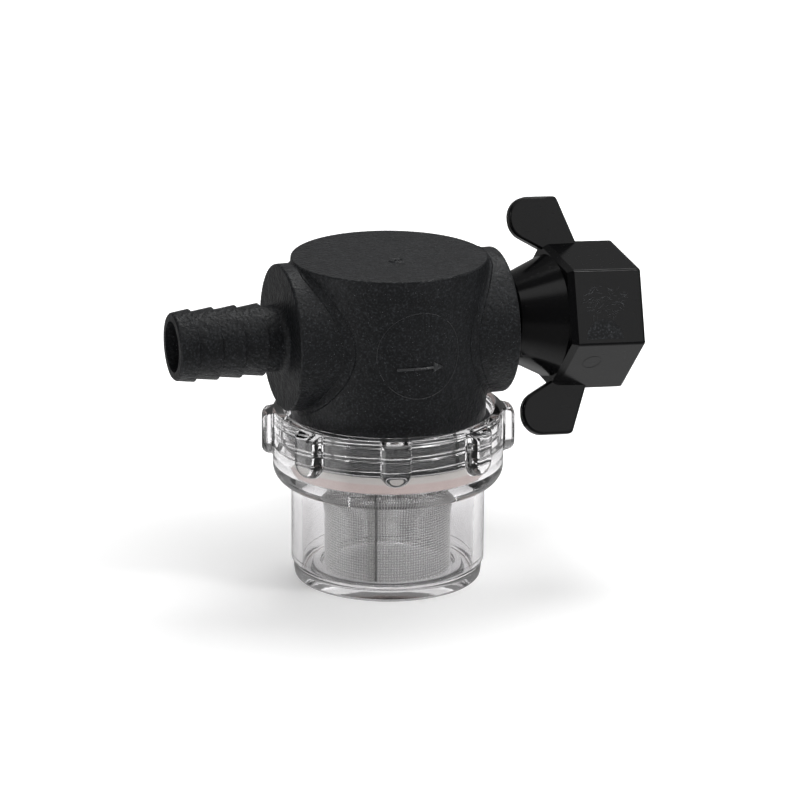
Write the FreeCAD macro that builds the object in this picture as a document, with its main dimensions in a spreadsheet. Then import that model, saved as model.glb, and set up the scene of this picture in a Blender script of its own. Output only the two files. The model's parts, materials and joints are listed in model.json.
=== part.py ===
import FreeCAD, Part

# Twist-on water strainer for a half-inch pump line.
#
# Millimetres. +Z is up along the bowl's axis, +X is the way the water flows, from the hose barb to the
# wing nut, and the origin is the centre of the flat foot that the bowl stands on.
#
# One moulding carries everything: the head has a round trunk, a cross barrel on the pipe axis, a hose
# barb, and a skirt that the bowl screws on to. Water enters by the barb, falls into the ring of space
# outside the screen, passes in through the mesh, rises inside the spigot and leaves by the tailpiece.

import math
import os

import Sketcher
from FreeCAD import Placement, Rotation, Vector

# Driving dimensions: alias, value, what it is. Each goes in one cell of the spreadsheet.
SIZES = [
    # head
    ("pipe_height", 53.2, "height of the pipe axis above the foot"),
    ("trunk_radius", 20.3, "round trunk"),
    ("trunk_top", 68.7, "height of the round top face"),
    ("trunk_bottom", 35.4, "where the trunk steps in to the skirt, inside the collar"),
    ("barrel_radius", 15.15, "cross barrel on the pipe axis"),
    ("barrel_inlet", 23.4, "from the bowl's axis to the inlet end face"),
    ("barrel_outlet", 23.7, "from the bowl's axis to the outlet end face"),
    ("rim_round", 0.35, "edge of the top face"),
    ("barrel_round", 0.5, "edges of the barrel's end faces"),
    ("skirt_radius", 20.0, "skirt at the root of its thread"),
    ("skirt_bore", 17.3, "inside of the skirt"),
    ("spigot_radius", 12.6, "outside of the spigot that the screen fits round"),
    ("spigot_bore", 10.8, "inside of the spigot"),
    ("spigot_lift", 0.4, "lower end of the spigot, above the end of the skirt"),
    ("chamber_top", 45.8, "roof of the ring of space outside the spigot"),
    ("top_wall", 3.0, "thickness of the top above the inner spaces"),
    ("inlet_sweep", 110.0, "angle of the pocket that lets the inlet into the ring"),
    # hose barb
    ("barb_bore", 5.25, "water way in the barb"),
    ("barb_crest", 7.48, "radius of the crests"),
    ("barb_root", 6.88, "radius behind each crest, and of the neck"),
    ("barb_tip", 7.0, "radius of the nose"),
    ("barb_nose", 0.35, "chamfer round the nose"),
    ("barb_first", 3.8, "from the tip to the first crest"),
    ("barb_pitch", 4.87, "from crest to crest"),
    ("barb_count", 4, "number of crests"),
    ("barb_back", 0.25, "length of the slope behind a crest"),
    ("barb_neck", 4.49, "from the last crest to the barrel"),
    ("barb_fillet", 1.3, "fillet where the neck meets the barrel"),
    # tailpiece and its seat
    ("tail_radius", 6.8, "tube of the tailpiece"),
    ("tail_bore", 5.0, "water way in the tailpiece"),
    ("tail_depth", 6.0, "length bonded in the barrel"),
    ("tail_glue", 0.05, "glue line round the tube"),
    ("tail_reach", 11.1, "from the outlet end face to the tailpiece's end"),
    ("flange_radius", 9.0, "flange that holds the nut on"),
    ("flange_length", 3.2, "cylindrical part of the flange"),
    ("flange_slope", 1.8, "length of the cone behind the flange"),
    # bowl
    ("bowl_radius", 20.15, "outside of the cup"),
    ("bowl_wall", 2.2, "wall of the cup"),
    ("floor_height", 2.4, "top of the cup's floor"),
    ("floor_round", 1.5, "inside corner of the floor"),
    ("foot_radius", 19.4, "foot at the bottom"),
    ("foot_step", 0.3, "step from the cup in to the foot"),
    ("foot_height", 3.9, "height of the foot"),
    ("foot_round", 0.8, "bottom edge of the foot"),
    ("shoulder_height", 20.7, "underside of the shoulder that carries the collar"),
    ("shoulder_flat", 0.15, "flat of that underside, before it rounds up to the collar"),
    ("ledge_height", 24.2, "ledge that the gasket lies on"),
    ("collar_radius", 24.0, "outside of the collar"),
    ("collar_top", 36.4, "top of the collar"),
    ("collar_bore", 21.67, "inside of the collar at the root of its thread"),
    ("collar_round", 0.45, "top edges of the collar"),
    ("pilot_rise", 0.6, "height of the gasket's recess above the gasket"),
    ("lug_count", 8, "grip lugs round the collar"),
    ("lug_angle", 14.3, "first lug, from -Y towards -X"),
    ("lug_width", 6.4, "width of a lug"),
    ("lug_height", 2.3, "how far the lugs stand out from the collar"),
    ("lug_bottom", 26.7, "lowest point of a lug's round end"),
    ("lug_drop", 0.3, "top of a lug, below the collar's top"),
    ("lug_round", 1.0, "outer edges of a lug"),
    ("seat_ring_radius", 15.8, "outside of the ring on the floor that centres the screen"),
    ("seat_ring_height", 0.7, "height of that ring"),
    # gasket
    ("gasket_radius", 20.3, "outside of the bowl gasket"),
    ("gasket_bore", 16.6, "hole of the bowl gasket"),
    ("gasket_thickness", 3.4, "thickness of the bowl gasket"),
    ("gasket_gap", 0.3, "room between the gasket and the recess round it"),
    # screen
    ("screen_gap", 0.2, "room between the screen and the spigot"),
    ("screen_wall", 0.46, "thickness of the mesh, two wires"),
    ("screen_rib", 0.12, "height of the mesh's ridges"),
    ("screen_top", 36.0, "upper end of the screen"),
    ("screen_rows", 5, "rows of openings up the mesh"),
    ("screen_columns", 24, "openings round the mesh"),
    ("screen_border", 1.3, "plain border at each end"),
    ("screen_bar", 1.0, "width of the bars between openings"),
    ("seam_angle", 6.5, "width of the lap seam round the screen"),
    ("seam_place", 28.5, "edge of the seam, from -Y towards -X"),
    # swivel nut, measured along its own axis from its hanging point
    ("nut_hang", 30.5, "hanging point on the pipe axis, from the bowl's axis"),
    ("nut_droop", 4.0, "how far the loose nut hangs down"),
    ("nut_yaw", 3.1, "how far it swings to the back"),
    ("nut_turn", 21.5, "how far the upper wing leans to the back"),
    ("neck_start", 5.0, "thin end of the neck, before the hanging point"),
    ("neck_radius", 8.8, "thin end of the neck"),
    ("neck_end", 4.2, "where the neck meets the hexagon"),
    ("neck_wide", 13.0, "wide end of the neck"),
    ("hex_start", 3.9, "inner end of the hexagon"),
    ("hex_end", 20.5, "outer end of the hexagon"),
    ("hex_flats", 27.0, "across flats"),
    ("hex_band", 1.4, "length of the bevel at the inner end"),
    ("hex_bevel", 0.6, "height of that bevel"),
    ("hex_round", 0.7, "edges of the outer end"),
    ("corner_round", 0.8, "long edges of the hexagon"),
    ("lip_bore", 7.6, "bore of the neck round the tailpiece"),
    ("lip_length", 1.8, "length of that bore"),
    ("cavity_radius", 9.7, "room for the flange"),
    ("cavity_start", 1.2, "where the inner cone ends"),
    ("washer_step", 5.9, "step that the washer lies on"),
    ("nut_bore", 10.6, "inside of the nut at the root of its thread"),
    ("mouth_chamfer", 0.8, "chamfer at the mouth of the nut"),
    ("wing_tip", 25.0, "radius of the wings' outer edge"),
    ("wing_lobe", 4.4, "radius of the round lobe"),
    ("wing_left", 3.0, "tip of the lobe, before the hanging point"),
    ("wing_lobe_low", 17.5, "radius where the lobe's side would meet the sloping heel"),
    ("wing_heel", 5.0, "inner end of the heel, inside the hexagon"),
    ("wing_heel_radius", 13.2, "radius there"),
    ("wing_root", 12.8, "inner end of the far edge, inside the hexagon"),
    ("wing_root_radius", 12.7, "radius there"),
    ("wing_corner", 7.9, "far corner of the outer edge"),
    ("wing_corner_round", 1.1, "round at that corner"),
    ("wing_thickness", 2.6, "at the crease"),
    ("wing_thin", 2.0, "at the tip of the lobe and at the far edge"),
    ("wing_crease", 5.6, "place of the crease along the nut"),
    ("wing_round", 0.5, "edges of a wing"),
    # washer in the nut
    ("washer_radius", 10.2, "outside of the sealing washer"),
    ("washer_bore", 6.0, "hole of the sealing washer"),
    ("washer_thickness", 2.0, "thickness of the sealing washer"),
    ("washer_room", 0.1, "room between the washer and its pocket"),
    ("pocket_lead", 0.2, "length of that pocket beyond the washer"),
]

SHEET = "Sizes"
FULL_TURN = 360.0
HEX_SIDES = 6
FINE = 1e-4  # two lengths closer than this are the same edge
START, END, CENTRE = range(1, 4)  # the sketcher's names for a curve's points
ACROSS_LINE, ORIGIN = range(-2, 0)  # the sketch's vertical axis, and its origin with its horizontal axis
UP = Vector(0, 0, 1)
FORWARD = Vector(1, 0, 0)


class Length:
    """A size together with the sheet formula it comes from, so that one sum gives both."""

    def __init__(self, value, formula):
        self.value = value
        self.formula = formula

    def __add__(self, other):
        return Length(self.value + other.value, f"({self.formula} + {other.formula})")

    def __sub__(self, other):
        return Length(self.value - other.value, f"({self.formula} - {other.formula})")

    def __mul__(self, number):
        return Length(self.value * number, f"({self.formula} * {number:.9f})")

    def __truediv__(self, number):
        return self * (1.0 / number)

    def __neg__(self):
        return Length(-self.value, f"(0 - {self.formula})")


class Sizes:
    """The driving dimensions, each as a Length with the name of its cell."""

    def __init__(self, rows):
        for alias, value, _ in rows:
            setattr(self, alias, Length(value, f"{SHEET}.{alias}"))


ZERO = Length(0.0, "0")
size = Sizes(SIZES)
document = FreeCAD.newDocument("strainer")

# Places worked out from the driving dimensions.
cavity_top = size.trunk_top - size.top_wall
barb_length = size.barb_first + size.barb_pitch * (size.barb_count.value - 1) + size.barb_neck
barb_end = -(size.barrel_inlet + barb_length)
tail_seat = size.barrel_outlet - size.tail_depth
tail_end = size.barrel_outlet + size.tail_reach
gasket_top = size.ledge_height + size.gasket_thickness
spigot_bottom = gasket_top + size.spigot_lift
pilot_height = gasket_top + size.pilot_rise
lug_radius = size.collar_radius + size.lug_height
cup_bore = size.bowl_radius - size.bowl_wall
screen_bore = size.spigot_radius + size.screen_gap
screen_outside = screen_bore + size.screen_wall
seam_outside = screen_outside + size.screen_wall
washer_end = size.washer_step + size.washer_thickness
pocket_end = washer_end + size.pocket_lead


def write_sheet():
    """Puts the driving dimensions in the spreadsheet: name, value with its alias, and what it is."""
    sheet = document.addObject("Spreadsheet::Sheet", SHEET)
    for row, (alias, value, meaning) in enumerate(SIZES, start=1):
        sheet.set(f"A{row}", alias)
        sheet.set(f"B{row}", str(value))
        sheet.set(f"C{row}", meaning)
        sheet.setAlias(f"B{row}", alias)
    document.recompute()


def new_body(name):
    """An empty body whose label is the name of its file."""
    body = document.addObject("PartDesign::Body", name)
    body.Label = name
    return body


def new_sketch(body, name, role, rise=ZERO, lift=ZERO):
    """A sketch on one of the body's own origin planes, moved up the page by rise and off it by lift."""
    sketch = body.newObject("Sketcher::SketchObject", name)
    plane = [item for item in body.Origin.OriginFeatures if item.Role == role][0]
    sketch.AttachmentSupport = (plane, [""])
    sketch.MapMode = "FlatFace"
    sketch.setExpression("AttachmentOffset.Base.y", rise.formula)
    sketch.setExpression("AttachmentOffset.Base.z", lift.formula)
    return sketch


def place_point(sketch, curve, point, place):
    """Ties a curve's point to the sheet by its two distances from the sketch's origin."""
    rows = (("DistanceX", place[0], ACROSS_LINE), ("DistanceY", place[1], ORIGIN))
    for kind, distance, line in rows:
        if distance is ZERO:
            sketch.addConstraint(Sketcher.Constraint("PointOnObject", curve, point, line))
            continue
        rule = Sketcher.Constraint(kind, ORIGIN, START, curve, point, distance.value)
        number = sketch.addConstraint(rule)
        sketch.setExpression(f"Constraints[{number}]", distance.formula)


def size_rule(sketch, kind, curve, amount):
    """Ties a curve's radius to the sheet."""
    number = sketch.addConstraint(Sketcher.Constraint(kind, curve, amount.value))
    sketch.setExpression(f"Constraints[{number}]", amount.formula)


def vector(place):
    """A corner given by two Lengths, as a point on the sketch."""
    return Vector(place[0].value, place[1].value, 0)


def draw_polygon(sketch, corners):
    """A closed outline with straight sides, every corner tied to the sheet."""
    first = sketch.GeometryCount
    count = len(corners)
    for here, there in zip(corners, corners[1:] + corners[:1]):
        sketch.addGeometry(Part.LineSegment(vector(here), vector(there)), False)
    for side in range(count):
        after = first + (side + 1) % count
        sketch.addConstraint(Sketcher.Constraint("Coincident", first + side, END, after, START))
    for side, corner in enumerate(corners):
        place_point(sketch, first + side, START, corner)


def feature_on(body, kind, name, sketch, **lengths):
    """A feature made from a sketch, with the named properties tied to the sheet."""
    feature = body.newObject(kind, name)
    feature.Profile = sketch
    for prop, amount in lengths.items():
        feature.setExpression(prop, amount.formula)
    sketch.Visibility = False
    return feature


def turned(body, kind, name, sketch, axis, angle=None):
    """A Revolution or Groove of a sketch about one of its own axes, whole or of one angle, centred."""
    feature = feature_on(body, kind, name, sketch)
    feature.ReferenceAxis = (sketch, [axis])
    if angle is None:
        feature.Angle = FULL_TURN
    else:
        feature.Midplane = True
        feature.setExpression("Angle", angle.formula)
    return feature


def turned_profile(body, kind, name, corners, rise=ZERO, axis="V_Axis"):
    """A turned feature whose half section is a polygon on the XZ plane."""
    sketch = new_sketch(body, f"{name}_section", "XZ_Plane", rise=rise)
    draw_polygon(sketch, corners)
    return turned(body, kind, name, sketch, axis)


def is_ring(edge, radius, place, axis):
    """True for a circle of that radius about the axis direction, at that place along it."""
    curve = edge.Curve
    if not isinstance(curve, Part.Circle):
        return False
    same_way = abs(abs(curve.Axis.dot(axis)) - 1) < FINE
    same_size = abs(curve.Radius - radius.value) < FINE
    return same_way and same_size and abs(curve.Center.dot(axis) - place.value) < FINE


def dress_edges(body, kind, name, amount, chosen):
    """A Fillet or Chamfer on those edges of the body that chosen picks out."""
    document.recompute()
    base = body.Tip
    edges = [f"Edge{n}" for n, edge in enumerate(base.Shape.Edges, start=1) if chosen(edge)]
    if not edges:
        raise RuntimeError(f"{name} finds no edge to work on")
    feature = body.newObject(kind, name)
    feature.Base = (base, edges)
    prop = "Radius" if kind == "PartDesign::Fillet" else "Size"
    feature.setExpression(prop, amount.formula)
    return feature


def round_rings(body, name, amount, rings):
    """A Fillet along circles, each given as (radius, place along the axis, axis direction)."""
    return dress_edges(
        body, "PartDesign::Fillet", name, amount, lambda edge: any(is_ring(edge, *ring) for ring in rings)
    )


def pipe_profile():
    """Half section of the barb and the cross barrel, along the pipe axis."""
    corners = [
        (barb_end, ZERO),
        (barb_end, size.barb_tip - size.barb_nose),
        (barb_end + size.barb_nose, size.barb_tip),
    ]
    for crest in range(int(size.barb_count.value)):
        place = barb_end + size.barb_first + size.barb_pitch * crest
        corners.append((place, size.barb_crest))
        corners.append((place + size.barb_back, size.barb_root))
    corners += [
        (-size.barrel_inlet, size.barb_root),
        (-size.barrel_inlet, size.barrel_radius),
        (size.barrel_outlet, size.barrel_radius),
        (size.barrel_outlet, ZERO),
    ]
    return corners


def make_head():
    """The black moulding: trunk, barrel, barb and skirt, then the spaces that the water goes through."""
    body = new_body("head")
    trunk = [
        (ZERO, gasket_top),
        (size.skirt_radius, gasket_top),
        (size.skirt_radius, size.trunk_bottom),
        (size.trunk_radius, size.trunk_bottom),
        (size.trunk_radius, size.trunk_top),
        (ZERO, size.trunk_top),
    ]
    turned_profile(body, "PartDesign::Revolution", "trunk", trunk)
    turned_profile(body, "PartDesign::Revolution", "pipe", pipe_profile(), size.pipe_height, "H_Axis")
    round_rings(body, "rim", size.rim_round, [(size.trunk_radius, size.trunk_top, UP)])
    ends = [
        (size.barrel_radius, -size.barrel_inlet, FORWARD),
        (size.barrel_radius, size.barrel_outlet, FORWARD),
    ]
    round_rings(body, "barrel_ends", size.barrel_round, ends)
    root = [(size.barb_root, -size.barrel_inlet, FORWARD)]
    round_rings(body, "barb_root_fillet", size.barb_fillet, root)

    chamber = [
        (ZERO, cavity_top),
        (size.spigot_bore, cavity_top),
        (size.spigot_bore, spigot_bottom),
        (size.spigot_radius, spigot_bottom),
        (size.spigot_radius, size.chamber_top),
        (size.skirt_bore, size.chamber_top),
        (size.skirt_bore, gasket_top),
        (ZERO, gasket_top),
    ]
    turned_profile(body, "PartDesign::Groove", "chamber", chamber)

    sketch = new_sketch(body, "inlet_pocket_section", "XZ_Plane")
    pocket = [
        (-size.skirt_bore, size.chamber_top),
        (-size.spigot_radius, size.chamber_top),
        (-size.spigot_radius, cavity_top),
        (-size.skirt_bore, cavity_top),
    ]
    draw_polygon(sketch, pocket)
    turned(body, "PartDesign::Groove", "inlet_pocket", sketch, "V_Axis", size.inlet_sweep)

    ring_middle = (size.skirt_bore + size.spigot_radius) / 2
    inlet = [
        (barb_end, ZERO),
        (barb_end, size.barb_bore),
        (-ring_middle, size.barb_bore),
        (-ring_middle, ZERO),
    ]
    turned_profile(body, "PartDesign::Groove", "inlet_bore", inlet, size.pipe_height, "H_Axis")
    outlet = [
        (ZERO, ZERO),
        (ZERO, size.tail_bore),
        (tail_seat, size.tail_bore),
        (tail_seat, size.tail_radius + size.tail_glue),
        (size.barrel_outlet, size.tail_radius + size.tail_glue),
        (size.barrel_outlet, ZERO),
    ]
    turned_profile(body, "PartDesign::Groove", "outlet_bore", outlet, size.pipe_height, "H_Axis")
    return body


def make_tailpiece():
    """The flanged tube that is bonded in the barrel and keeps the nut on."""
    body = new_body("tailpiece")
    flange_back = tail_end - size.flange_length
    section = [
        (tail_seat, size.tail_bore),
        (tail_seat, size.tail_radius),
        (flange_back - size.flange_slope, size.tail_radius),
        (flange_back, size.flange_radius),
        (tail_end, size.flange_radius),
        (tail_end, size.tail_bore),
    ]
    turned_profile(body, "PartDesign::Revolution", "tail", section, size.pipe_height, "H_Axis")
    return body


def draw_lug(sketch):
    """A grip lug seen from outside: straight sides, flat top, half-round lower end."""
    half = size.lug_width / 2
    top = size.collar_top - size.lug_drop
    middle = size.lug_bottom + half
    corners = [(-half, top), (-half, middle), (half, middle), (half, top)]
    top_left, low_left, low_right, top_right = (vector(corner) for corner in corners)
    sketch.addGeometry(Part.LineSegment(top_left, low_left), False)
    circle = Part.Circle(Vector(0, middle.value, 0), UP, half.value)
    sketch.addGeometry(Part.ArcOfCircle(circle, math.pi, 2 * math.pi), False)
    sketch.addGeometry(Part.LineSegment(low_right, top_right), False)
    sketch.addGeometry(Part.LineSegment(top_right, top_left), False)
    left, arc, right, lid = range(4)
    sketch.addConstraint(Sketcher.Constraint("Tangent", left, END, arc, START))
    sketch.addConstraint(Sketcher.Constraint("Tangent", arc, END, right, START))
    sketch.addConstraint(Sketcher.Constraint("Coincident", right, END, lid, START))
    sketch.addConstraint(Sketcher.Constraint("Coincident", lid, END, left, START))
    place_point(sketch, left, START, corners[0])
    place_point(sketch, lid, START, corners[3])
    place_point(sketch, arc, CENTRE, (ZERO, middle))
    size_rule(sketch, "Radius", arc, half)


def polar_pattern(body, name, features, count):
    """Copies of features evenly round the body's Z axis."""
    pattern = body.newObject("PartDesign::PolarPattern", name)
    pattern.Originals = features
    axis = [item for item in body.Origin.OriginFeatures if item.Role == "Z_Axis"][0]
    pattern.Axis = (axis, [""])
    pattern.Angle = FULL_TURN
    pattern.setExpression("Occurrences", count.formula)
    body.Tip = pattern
    return pattern


def make_bowl():
    """The clear moulding: cup with a foot and a thick floor, round shoulder, collar and grip lugs."""
    body = new_body("bowl")
    recess = size.gasket_radius + size.gasket_gap
    ring_bore = seam_outside + size.screen_gap
    ring_top = size.floor_height + size.seat_ring_height
    shoulder_round = size.collar_radius - size.bowl_radius - size.shoulder_flat
    section = [
        (ZERO, ZERO),
        (size.foot_radius, ZERO),
        (size.bowl_radius - size.foot_step, size.foot_height),
        (size.bowl_radius, size.foot_height),
        (size.bowl_radius, size.shoulder_height),
        (size.collar_radius, size.shoulder_height),
        (size.collar_radius, size.collar_top),
        (size.collar_bore, size.collar_top),
        (size.collar_bore, pilot_height),
        (recess, pilot_height),
        (recess, size.ledge_height),
        (cup_bore, size.ledge_height),
        (cup_bore, size.floor_height),
        (size.seat_ring_radius, size.floor_height),
        (size.seat_ring_radius, ring_top),
        (ring_bore, ring_top),
        (ring_bore, size.floor_height),
        (ZERO, size.floor_height),
    ]
    turned_profile(body, "PartDesign::Revolution", "cup", section)
    round_rings(body, "foot_edge", size.foot_round, [(size.foot_radius, ZERO, UP)])
    round_rings(body, "shoulder_edge", shoulder_round, [(size.collar_radius, size.shoulder_height, UP)])
    round_rings(body, "floor_corner", size.floor_round, [(cup_bore, size.floor_height, UP)])
    rims = [(size.collar_radius, size.collar_top, UP), (size.collar_bore, size.collar_top, UP)]
    round_rings(body, "collar_rims", size.collar_round, rims)

    lug_foot = (size.collar_bore + size.collar_radius) / 2
    sketch = new_sketch(body, "lug_outline", "XZ_Plane", lift=lug_foot)
    draw_lug(sketch)
    lug = feature_on(body, "PartDesign::Pad", "lug", sketch, Length=lug_radius - lug_foot)
    polar_pattern(body, "lugs", [lug], size.lug_count)

    def on_lug_face(edge):
        reach = lug_radius.value - FINE
        return all(math.hypot(v.Point.x, v.Point.y) > reach for v in edge.Vertexes)

    dress_edges(body, "PartDesign::Fillet", "lug_edges", size.lug_round, on_lug_face)
    body.Placement = Placement(Vector(0, 0, 0), Rotation(UP, -size.lug_angle.value))
    return body


def make_gasket():
    """The flat ring on the bowl's ledge that the skirt presses on."""
    body = new_body("bowl_gasket")
    section = [
        (size.gasket_bore, size.ledge_height),
        (size.gasket_radius, size.ledge_height),
        (size.gasket_radius, gasket_top),
        (size.gasket_bore, gasket_top),
    ]
    turned_profile(body, "PartDesign::Revolution", "gasket_ring", section)
    return body


def make_screen():
    """The mesh tube: a thin wall with ridges along and across it, rows of openings, and a lap seam."""
    wall = new_body("mesh_wall")
    rows = int(size.screen_rows.value)
    clear = size.screen_top - size.floor_height - size.screen_border * 2 - size.screen_bar * (rows - 1)
    opening = clear / rows
    step = opening + size.screen_bar
    ridge = screen_outside + size.screen_rib
    outside = [(screen_bore, size.floor_height), (ridge, size.floor_height)]
    low = size.floor_height + size.screen_border
    for row in range(rows):
        outside.append((ridge, low + step * row))
        outside.append((screen_outside, low + step * row))
        outside.append((screen_outside, low + step * row + opening))
        outside.append((ridge, low + step * row + opening))
    outside += [(ridge, size.screen_top), (screen_bore, size.screen_top)]
    turned_profile(wall, "PartDesign::Revolution", "mesh_wall_ring", outside)

    openings = document.addObject("Part::Feature", "mesh_openings")
    pitch = 2 * math.pi * screen_outside.value / size.screen_columns.value
    width = pitch - size.screen_bar.value
    depth = seam_outside.value - screen_bore.value
    blocks = []
    for column in range(int(size.screen_columns.value)):
        turn = FULL_TURN * (column + 0.5) / size.screen_columns.value
        for row in range(rows):
            corner = Vector(-width / 2, -seam_outside.value, (low + step * row).value)
            block = Part.makeBox(width, depth * 2, opening.value, corner)
            blocks.append(block.rotated(Vector(0, 0, 0), UP, turn))
    openings.Shape = Part.makeCompound(blocks)

    lap = [
        (screen_outside - size.screen_rib, size.floor_height),
        (seam_outside, size.floor_height),
        (seam_outside, size.screen_top),
        (screen_outside - size.screen_rib, size.screen_top),
    ]
    seam = new_body("mesh_seam")
    sketch = new_sketch(seam, "seam_section", "XZ_Plane")
    draw_polygon(sketch, lap)
    turned(seam, "PartDesign::Revolution", "lap_seam", sketch, "V_Axis", size.seam_angle)

    mesh = document.addObject("Part::Cut", "mesh")
    mesh.Base = wall
    mesh.Tool = openings
    screen = document.addObject("Part::Fuse", "screen")
    screen.Base = mesh
    screen.Tool = seam
    screen.Label = "screen"
    quarter_turn = FULL_TURN / 4
    seam_middle = size.seam_place.value + size.seam_angle.value / 2
    screen.Placement = Placement(Vector(0, 0, 0), Rotation(UP, -quarter_turn - seam_middle))
    return screen


def nut_placement():
    """The nut's own axis is its Z: laid along the pipe, turned, then hung down and to the back."""
    quarter_turn = FULL_TURN / 4
    lay = Rotation(Vector(0, 1, 0), quarter_turn)
    turn = Rotation(FORWARD, -size.nut_turn.value)
    droop = Rotation(Vector(0, 1, 0), size.nut_droop.value)
    yaw = Rotation(UP, size.nut_yaw.value)
    hang = Vector(size.nut_hang.value, 0, size.pipe_height.value)
    return Placement(hang, yaw * droop * turn * lay)


def make_nut_blank():
    """The round neck and the hexagon with a bevelled inner end."""
    body = new_body("nut_blank")
    neck = [
        (ZERO, -size.neck_start),
        (size.neck_radius, -size.neck_start),
        (size.neck_wide, size.neck_end),
        (ZERO, size.neck_end),
    ]
    turned_profile(body, "PartDesign::Revolution", "neck", neck)
    full_start = size.hex_start + size.hex_band
    sketch = new_sketch(body, "hexagon", "XY_Plane", lift=full_start)
    corner = size.hex_flats / math.sqrt(3)
    angles = [2 * math.pi * side / HEX_SIDES for side in range(HEX_SIDES)]
    draw_polygon(sketch, [(corner * math.cos(turn), corner * math.sin(turn)) for turn in angles])
    feature_on(body, "PartDesign::Pad", "hex_body", sketch, Length=size.hex_end - full_start)
    bevel_sketch = new_sketch(body, "bevel_outline", "XY_Plane", lift=full_start)
    draw_polygon(bevel_sketch, [(corner * math.cos(turn), corner * math.sin(turn)) for turn in angles])
    bevel = feature_on(body, "PartDesign::Pad", "bevel", bevel_sketch, Length=size.hex_band)
    bevel.Reversed = True
    bevel.TaperAngle = -math.degrees(math.atan2(size.hex_bevel.value, size.hex_band.value))

    def is_corner_edge(edge):
        box = edge.BoundBox
        reach = math.hypot(edge.CenterOfMass.x, edge.CenterOfMass.y)
        return isinstance(edge.Curve, Part.Line) and box.ZLength > FINE and reach > size.hex_flats.value / 2

    dress_edges(body, "PartDesign::Fillet", "corner_edges", size.corner_round, is_corner_edge)

    def is_end_edge(edge):
        return edge.BoundBox.ZMin > size.hex_end.value - FINE

    dress_edges(body, "PartDesign::Fillet", "end_edges", size.hex_round, is_end_edge)
    return body


def make_wings():
    """Both wings as one plate through the nut, thickest at a crease. Its X is the radius, its Z the nut's axis."""
    body = new_body("wing_plate")
    outline = [
        (size.wing_tip, -size.wing_left),
        (size.wing_lobe_low, -size.wing_left),
        (size.wing_heel_radius, size.wing_heel),
        (-size.wing_heel_radius, size.wing_heel),
        (-size.wing_lobe_low, -size.wing_left),
        (-size.wing_tip, -size.wing_left),
        (-size.wing_tip, size.wing_corner),
        (-size.wing_root_radius, size.wing_root),
        (size.wing_root_radius, size.wing_root),
        (size.wing_tip, size.wing_corner),
    ]
    sketch = new_sketch(body, "wing_outline", "XZ_Plane")
    draw_polygon(sketch, outline)
    plate = feature_on(body, "PartDesign::Pad", "plate", sketch, Length=size.wing_thickness)
    plate.Midplane = True

    def crosses_at(places):
        """Picks the edges that run through the plate's thickness at those corners."""

        def chosen(edge):
            middle = edge.CenterOfMass
            thick = edge.BoundBox.YLength > size.wing_thickness.value - FINE
            found = [p for p in places if math.dist((abs(middle.x), middle.z), p) < FINE]
            return thick and bool(found)

        return chosen

    left = -size.wing_left.value
    lobe = crosses_at([(size.wing_tip.value, left), (size.wing_lobe_low.value, left)])
    dress_edges(body, "PartDesign::Fillet", "lobe_rounds", size.wing_lobe, lobe)
    far_corner = crosses_at([(size.wing_tip.value, size.wing_corner.value)])
    dress_edges(body, "PartDesign::Fillet", "corner_rounds", size.wing_corner_round, far_corner)

    sketch = new_sketch(body, "flank_section", "YZ_Plane")
    low = -size.wing_left
    for side in (1, -1):
        thin = size.wing_thin * (side / 2)
        thick = size.wing_thickness * (side / 2)
        outside = size.wing_thickness * side
        flank = [(thin, low), (thick, size.wing_crease), (thin, size.wing_root)]
        draw_polygon(sketch, flank + [(outside, size.wing_root), (outside, low)])
    reach = size.wing_tip * 2 + size.wing_thickness
    flanks = feature_on(body, "PartDesign::Pocket", "flanks", sketch, Length=reach)
    flanks.Midplane = True

    def is_rim(edge):
        ends = [v.Point for v in edge.Vertexes]
        one_side = min(p.y for p in ends) * max(p.y for p in ends) > 0
        off_crease = any(abs(p.z - size.wing_crease.value) > FINE for p in ends)
        outside = min(abs(p.x) for p in ends) > size.wing_root_radius.value - FINE
        return one_side and off_crease and outside and ends[0].x * ends[-1].x > 0

    dress_edges(body, "PartDesign::Fillet", "wing_edges", size.wing_round, is_rim)
    return body


def make_nut_space():
    """What is hollow in the nut: the bore at its thin end, the room for the flange, the threaded bore."""
    body = new_body("nut_space")
    beyond = size.mouth_chamfer
    mouth = size.nut_bore + size.mouth_chamfer
    section = [
        (ZERO, -size.neck_start - beyond),
        (size.lip_bore, -size.neck_start - beyond),
        (size.lip_bore, size.lip_length - size.neck_start),
        (size.cavity_radius, size.cavity_start),
        (size.cavity_radius, size.washer_step),
        (size.washer_radius + size.washer_room, size.washer_step),
        (size.washer_radius + size.washer_room, pocket_end),
        (size.nut_bore, pocket_end),
        (size.nut_bore, size.hex_end - size.mouth_chamfer),
        (mouth, size.hex_end),
        (mouth, size.hex_end + beyond),
        (ZERO, size.hex_end + beyond),
    ]
    turned_profile(body, "PartDesign::Revolution", "space", section)
    return body


def make_swivel_nut():
    """The black nut: blank and wings moulded as one, with the hollow through them."""
    solid = document.addObject("Part::MultiFuse", "nut_solid")
    solid.Shapes = [make_nut_blank(), make_wings()]
    nut = document.addObject("Part::Cut", "swivel_nut")
    nut.Label = "swivel_nut"
    nut.Base = solid
    nut.Tool = make_nut_space()
    nut.Placement = nut_placement()
    return nut


def make_nut_washer():
    """The rubber washer on the step inside the nut."""
    body = new_body("nut_washer")
    section = [
        (size.washer_bore, size.washer_step),
        (size.washer_radius, size.washer_step),
        (size.washer_radius, washer_end),
        (size.washer_bore, washer_end),
    ]
    turned_profile(body, "PartDesign::Revolution", "washer_ring", section)
    body.Placement = nut_placement()
    return body


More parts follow.
